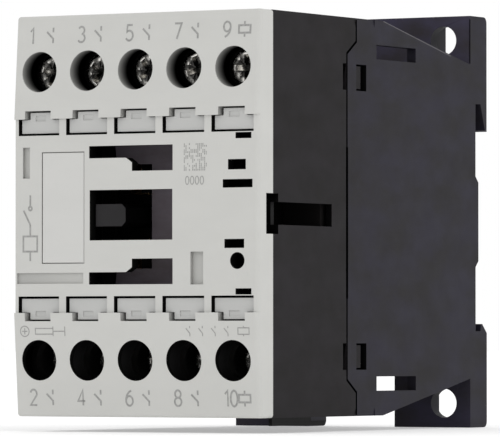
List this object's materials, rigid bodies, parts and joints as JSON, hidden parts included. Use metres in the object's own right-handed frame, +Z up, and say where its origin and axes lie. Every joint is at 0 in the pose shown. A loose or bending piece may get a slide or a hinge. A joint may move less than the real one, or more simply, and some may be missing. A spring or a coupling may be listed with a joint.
{
  "type": "power contactor",
  "caption": "Small rail-mounted contactor: grey terminal cover over a dark two-part housing, screw clamp terminals, sprung contact carrier, magnet core and coil.",
  "frame": {"origin": "middle of the bottom of the overall box: halfway across the width and the depth, at the underside of the lower fixing lugs", "axes": "+Z up along the height, +Y from the terminal face back to the mounting plane, +X to the right seen from the front"},
  "size_m": [0.045, 0.075, 0.068],
  "materials": {
    "cover_grey": "fine moulded texture, light grey",
    "label_grey": "smooth moulded, light grey",
    "tag_grey": "smooth moulded, pale grey",
    "housing_dark": "fine moulded texture, near black",
    "base_dark": "fine moulded texture, dark grey",
    "inner_plastic": "glass filled moulding, dark",
    "carrier_black": "glass filled moulding, black",
    "screw_nickel": "bright nickel plated steel",
    "clamp_zinc": "zinc plated steel",
    "contact_copper": "copper alloy strip",
    "tip_silver": "silver alloy contact facing",
    "spring_steel": "drawn spring steel",
    "core_steel": "stacked electrical steel sheets",
    "pin_steel": "ground steel",
    "bobbin_plastic": "moulded nylon",
    "winding_copper": "enamelled copper wire",
    "ring_copper": "copper",
    "pad_rubber": "soft rubber"
  },
  "bodies": {
    "housing": {"front_cover": "cover_grey", "label_plate": "label_grey", "marker_tags_upper": "tag_grey", "marker_tags_lower": "tag_grey", "front_housing": "housing_dark", "rear_housing": "base_dark", "contact_base": "inner_plastic", "coil_terminal_upper": "contact_copper", "coil_terminal_lower": "contact_copper", "fixed_contact_upper_1": "contact_copper", "fixed_contact_lower_1": "contact_copper", "fixed_contact_upper_2": "contact_copper", "fixed_contact_lower_2": "contact_copper", "fixed_contact_upper_3": "contact_copper", "fixed_contact_lower_3": "contact_copper", "fixed_contact_upper_4": "contact_copper", "fixed_contact_lower_4": "contact_copper", "fixed_tips": "tip_silver", "return_spring": "spring_steel", "fixed_core": "core_steel", "coil_bobbin": "bobbin_plastic", "coil_winding": "winding_copper", "shading_rings": "ring_copper", "damper_pad": "pad_rubber"},
    "carrier": {"contact_carrier": "carrier_black", "armature": "core_steel", "armature_pin": "pin_steel", "contact_spring_1": "spring_steel", "contact_spring_2": "spring_steel", "contact_spring_3": "spring_steel", "contact_spring_4": "spring_steel"},
    "bridge_1": {"contact_bridge_1": "contact_copper", "bridge_tips_1": "tip_silver"},
    "bridge_2": {"contact_bridge_2": "contact_copper", "bridge_tips_2": "tip_silver"},
    "bridge_3": {"contact_bridge_3": "contact_copper", "bridge_tips_3": "tip_silver"},
    "bridge_4": {"contact_bridge_4": "contact_copper", "bridge_tips_4": "tip_silver"},
    "clamp_upper_1": {"clamp_plate_upper_1": "clamp_zinc"},
    "screw_upper_1": {"screw_upper_1": "screw_nickel"},
    "clamp_upper_2": {"clamp_plate_upper_2": "clamp_zinc"},
    "screw_upper_2": {"screw_upper_2": "screw_nickel"},
    "clamp_upper_3": {"clamp_plate_upper_3": "clamp_zinc"},
    "screw_upper_3": {"screw_upper_3": "screw_nickel"},
    "clamp_upper_4": {"clamp_plate_upper_4": "clamp_zinc"},
    "screw_upper_4": {"screw_upper_4": "screw_nickel"},
    "clamp_upper_5": {"clamp_plate_upper_5": "clamp_zinc"},
    "screw_upper_5": {"screw_upper_5": "screw_nickel"},
    "clamp_lower_1": {"clamp_plate_lower_1": "clamp_zinc"},
    "screw_lower_1": {"screw_lower_1": "screw_nickel"},
    "clamp_lower_2": {"clamp_plate_lower_2": "clamp_zinc"},
    "screw_lower_2": {"screw_lower_2": "screw_nickel"},
    "clamp_lower_3": {"clamp_plate_lower_3": "clamp_zinc"},
    "screw_lower_3": {"screw_lower_3": "screw_nickel"},
    "clamp_lower_4": {"clamp_plate_lower_4": "clamp_zinc"},
    "screw_lower_4": {"screw_lower_4": "screw_nickel"},
    "clamp_lower_5": {"clamp_plate_lower_5": "clamp_zinc"},
    "screw_lower_5": {"screw_lower_5": "screw_nickel"},
    "rail_spring": {"rail_spring": "spring_steel"}
  },
  "joints": [
    {"name": "carrier_slide", "type": "slide", "parent": "housing", "child": "carrier", "axis": [0, 1, 0], "range_m": [0, 0.004], "stiffness_N_per_m": 1200, "springref_m": -0.001, "deforming": ["return_spring"]},
    {"name": "bridge_1_slide", "type": "slide", "parent": "carrier", "child": "bridge_1", "axis": [0, 1, 0], "range_m": [-0.0015, 0], "deforming": ["contact_spring_1"]},
    {"name": "bridge_2_slide", "type": "slide", "parent": "carrier", "child": "bridge_2", "axis": [0, 1, 0], "range_m": [-0.0015, 0], "deforming": ["contact_spring_2"]},
    {"name": "bridge_3_slide", "type": "slide", "parent": "carrier", "child": "bridge_3", "axis": [0, 1, 0], "range_m": [-0.0015, 0], "deforming": ["contact_spring_3"]},
    {"name": "bridge_4_slide", "type": "slide", "parent": "carrier", "child": "bridge_4", "axis": [0, 1, 0], "range_m": [-0.0015, 0], "deforming": ["contact_spring_4"]},
    {"name": "clamp_upper_1_slide", "type": "slide", "parent": "housing", "child": "clamp_upper_1", "axis": [0, 1, 0], "range_m": [0, 0.00384]},
    {"name": "screw_upper_1_turn", "type": "hinge", "parent": "clamp_upper_1", "child": "screw_upper_1", "pos_m": [-0.0178, -0.03275, 0.05677], "axis": [0, 1, 0], "range_deg": [0, 2304]},
    {"name": "clamp_upper_2_slide", "type": "slide", "parent": "housing", "child": "clamp_upper_2", "axis": [0, 1, 0], "range_m": [0, 0.00384]},
    {"name": "screw_upper_2_turn", "type": "hinge", "parent": "clamp_upper_2", "child": "screw_upper_2", "pos_m": [-0.0089, -0.03275, 0.05677], "axis": [0, 1, 0], "range_deg": [0, 2304]},
    {"name": "clamp_upper_3_slide", "type": "slide", "parent": "housing", "child": "clamp_upper_3", "axis": [0, 1, 0], "range_m": [0, 0.00384]},
    {"name": "screw_upper_3_turn", "type": "hinge", "parent": "clamp_upper_3", "child": "screw_upper_3", "pos_m": [0, -0.03275, 0.05677], "axis": [0, 1, 0], "range_deg": [0, 2304]},
    {"name": "clamp_upper_4_slide", "type": "slide", "parent": "housing", "child": "clamp_upper_4", "axis": [0, 1, 0], "range_m": [0, 0.00384]},
    {"name": "screw_upper_4_turn", "type": "hinge", "parent": "clamp_upper_4", "child": "screw_upper_4", "pos_m": [0.0089, -0.03275, 0.05677], "axis": [0, 1, 0], "range_deg": [0, 2304]},
    {"name": "clamp_upper_5_slide", "type": "slide", "parent": "housing", "child": "clamp_upper_5", "axis": [0, 1, 0], "range_m": [0, 0.00384]},
    {"name": "screw_upper_5_turn", "type": "hinge", "parent": "clamp_upper_5", "child": "screw_upper_5", "pos_m": [0.0178, -0.03275, 0.05677], "axis": [0, 1, 0], "range_deg": [0, 2304]},
    {"name": "clamp_lower_1_slide", "type": "slide", "parent": "housing", "child": "clamp_lower_1", "axis": [0, 1, 0], "range_m": [-0.00384, 0]},
    {"name": "screw_lower_1_turn", "type": "hinge", "parent": "clamp_lower_1", "child": "screw_lower_1", "pos_m": [-0.0178, -0.0289, 0.01123], "axis": [0, 1, 0], "range_deg": [-2304, 0]},
    {"name": "clamp_lower_2_slide", "type": "slide", "parent": "housing", "child": "clamp_lower_2", "axis": [0, 1, 0], "range_m": [-0.00384, 0]},
    {"name": "screw_lower_2_turn", "type": "hinge", "parent": "clamp_lower_2", "child": "screw_lower_2", "pos_m": [-0.0089, -0.0289, 0.01123], "axis": [0, 1, 0], "range_deg": [-2304, 0]},
    {"name": "clamp_lower_3_slide", "type": "slide", "parent": "housing", "child": "clamp_lower_3", "axis": [0, 1, 0], "range_m": [-0.00384, 0]},
    {"name": "screw_lower_3_turn", "type": "hinge", "parent": "clamp_lower_3", "child": "screw_lower_3", "pos_m": [0, -0.0289, 0.01123], "axis": [0, 1, 0], "range_deg": [-2304, 0]},
    {"name": "clamp_lower_4_slide", "type": "slide", "parent": "housing", "child": "clamp_lower_4", "axis": [0, 1, 0], "range_m": [-0.00384, 0]},
    {"name": "screw_lower_4_turn", "type": "hinge", "parent": "clamp_lower_4", "child": "screw_lower_4", "pos_m": [0.0089, -0.0289, 0.01123], "axis": [0, 1, 0], "range_deg": [-2304, 0]},
    {"name": "clamp_lower_5_slide", "type": "slide", "parent": "housing", "child": "clamp_lower_5", "axis": [0, 1, 0], "range_m": [-0.00384, 0]},
    {"name": "screw_lower_5_turn", "type": "hinge", "parent": "clamp_lower_5", "child": "screw_lower_5", "pos_m": [0.0178, -0.0289, 0.01123], "axis": [0, 1, 0], "range_deg": [-2304, 0]},
    {"name": "rail_spring_slide", "type": "slide", "parent": "housing", "child": "rail_spring", "axis": [0, 0, 1], "range_m": [0, 0.0015], "stiffness_N_per_m": 2500, "springref_m": -0.0004}
  ],
  "couplings": [
    {"joint": "bridge_1_slide", "follows": "carrier_slide", "ratio": -0.375},
    {"joint": "bridge_2_slide", "follows": "carrier_slide", "ratio": -0.375},
    {"joint": "bridge_3_slide", "follows": "carrier_slide", "ratio": -0.375},
    {"joint": "bridge_4_slide", "follows": "carrier_slide", "ratio": -0.375},
    {"joint": "screw_upper_1_turn", "follows": "clamp_upper_1_slide", "rad_per_m": 10472},
    {"joint": "screw_upper_2_turn", "follows": "clamp_upper_2_slide", "rad_per_m": 10472},
    {"joint": "screw_upper_3_turn", "follows": "clamp_upper_3_slide", "rad_per_m": 10472},
    {"joint": "screw_upper_4_turn", "follows": "clamp_upper_4_slide", "rad_per_m": 10472},
    {"joint": "screw_upper_5_turn", "follows": "clamp_upper_5_slide", "rad_per_m": 10472},
    {"joint": "screw_lower_1_turn", "follows": "clamp_lower_1_slide", "rad_per_m": 10472},
    {"joint": "screw_lower_2_turn", "follows": "clamp_lower_2_slide", "rad_per_m": 10472},
    {"joint": "screw_lower_3_turn", "follows": "clamp_lower_3_slide", "rad_per_m": 10472},
    {"joint": "screw_lower_4_turn", "follows": "clamp_lower_4_slide", "rad_per_m": 10472},
    {"joint": "screw_lower_5_turn", "follows": "clamp_lower_5_slide", "rad_per_m": 10472}
  ]
}
